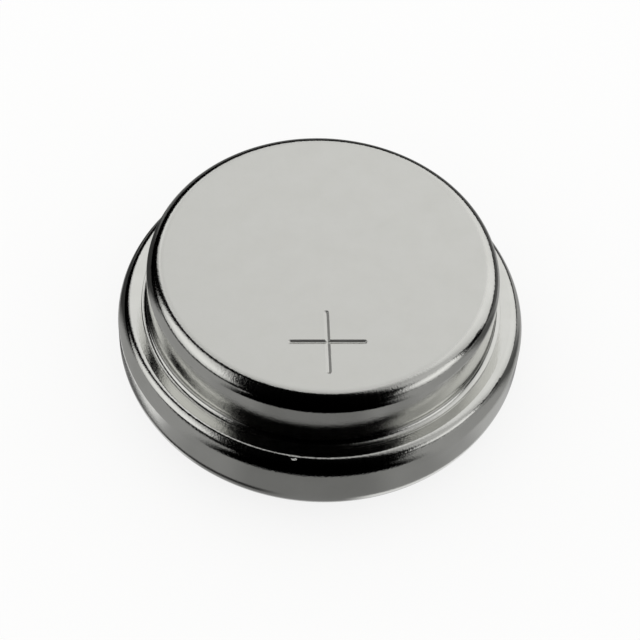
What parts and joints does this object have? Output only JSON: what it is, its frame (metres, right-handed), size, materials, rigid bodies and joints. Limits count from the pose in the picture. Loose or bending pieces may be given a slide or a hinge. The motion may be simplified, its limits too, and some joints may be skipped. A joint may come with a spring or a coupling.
{
  "type": "alkaline button cell",
  "caption": "Round stepped button cell: a bright nickel-plated can with a raised positive face, its rim curled over a sealing ring round a flat negative contact.",
  "frame": {"origin": "centre of the negative contact's face, which is the lowest plane that the cell stands on", "axes": "+Z along the axis from the negative contact to the positive face; X and Y are the two directions across the round body, with the viewer on the -Y side"},
  "size_m": [0.0156, 0.0156, 0.006],
  "materials": {
    "nickel_plated_steel": "bright nickel plate, satin on the positive face",
    "nylon": "moulded, natural",
    "clad_steel": "bright nickel-clad sheet",
    "zinc_gel": "damp granular gel",
    "cellulose_pad": "soft fibrous felt",
    "cellophane_film": "smooth film",
    "sleeve_steel": "drawn, plain",
    "manganese_dioxide": "pressed powder with graphite"
  },
  "bodies": {
    "root": {"positive_can": "nickel_plated_steel", "sealing_gasket": "nylon", "negative_cap": "clad_steel", "anode_gel": "zinc_gel", "absorbent_pad": "cellulose_pad", "barrier_film": "cellophane_film", "cathode_sleeve": "sleeve_steel", "cathode_pellet": "manganese_dioxide"}
  },
  "joints": []
}
